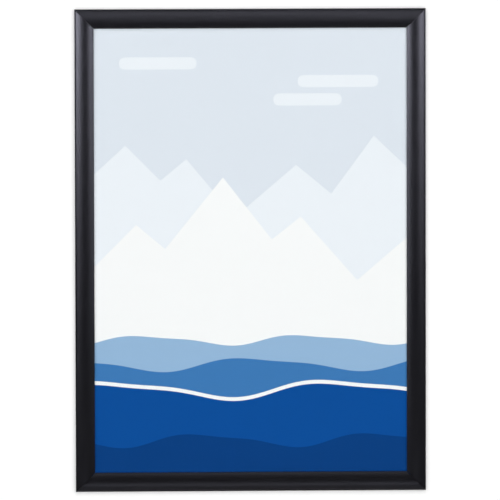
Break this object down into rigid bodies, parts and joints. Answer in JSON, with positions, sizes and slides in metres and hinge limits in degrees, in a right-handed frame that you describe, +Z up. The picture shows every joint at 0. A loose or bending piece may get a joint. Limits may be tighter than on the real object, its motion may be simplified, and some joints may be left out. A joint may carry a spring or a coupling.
{
  "type": "wall poster snap frame",
  "caption": "Upright wall frame for a poster sheet: four mitred arched profiles whose sprung front covers hinge outwards, with a back panel and a clear cover sheet.",
  "frame": {"origin": "on the wall plane, at the middle of the frame's back", "axes": "+X to the viewer's right, +Z up, +Y into the wall; the front faces -Y and the wall is the plane y = 0"},
  "size_m": [0.46, 0.012, 0.634],
  "materials": {
    "black_aluminium": "satin black coated extrusion",
    "zinc_plated_steel": "bright zinc plate",
    "spring_steel": "bare spring strip",
    "back_panel": "matt white polystyrene sheet",
    "poster": "printed satin paper",
    "clear_sheet": "clear anti-glare PVC"
  },
  "bodies": {
    "frame": {"base_rail_left": "black_aluminium", "base_rail_right": "black_aluminium", "base_rail_top": "black_aluminium", "base_rail_bottom": "black_aluminium", "corner_key_top_left": "zinc_plated_steel", "corner_key_top_right": "zinc_plated_steel", "corner_key_bottom_left": "zinc_plated_steel", "corner_key_bottom_right": "zinc_plated_steel", "spring_left_upper": "spring_steel", "spring_left_middle": "spring_steel", "spring_left_lower": "spring_steel", "spring_right_upper": "spring_steel", "spring_right_middle": "spring_steel", "spring_right_lower": "spring_steel", "spring_top_left": "spring_steel", "spring_top_right": "spring_steel", "spring_bottom_left": "spring_steel", "spring_bottom_right": "spring_steel", "back_panel": "back_panel", "poster_sheet": "poster", "clear_cover_sheet": "clear_sheet"},
    "cover_left": {"snap_cover_left": "black_aluminium"},
    "cover_right": {"snap_cover_right": "black_aluminium"},
    "cover_top": {"snap_cover_top": "black_aluminium"},
    "cover_bottom": {"snap_cover_bottom": "black_aluminium"}
  },
  "joints": [
    {"name": "left_cover_hinge", "type": "hinge", "parent": "frame", "child": "cover_left", "pos_m": [-0.2264, -0.0072, 0], "axis": [0, 0, -1], "range_deg": [0, 90]},
    {"name": "right_cover_hinge", "type": "hinge", "parent": "frame", "child": "cover_right", "pos_m": [0.2264, -0.0072, 0], "axis": [0, 0, 1], "range_deg": [0, 90]},
    {"name": "top_cover_hinge", "type": "hinge", "parent": "frame", "child": "cover_top", "pos_m": [0, -0.0072, 0.3134], "axis": [-1, 0, 0], "range_deg": [0, 90]},
    {"name": "bottom_cover_hinge", "type": "hinge", "parent": "frame", "child": "cover_bottom", "pos_m": [0, -0.0072, -0.3134], "axis": [1, 0, 0], "range_deg": [0, 90]}
  ]
}
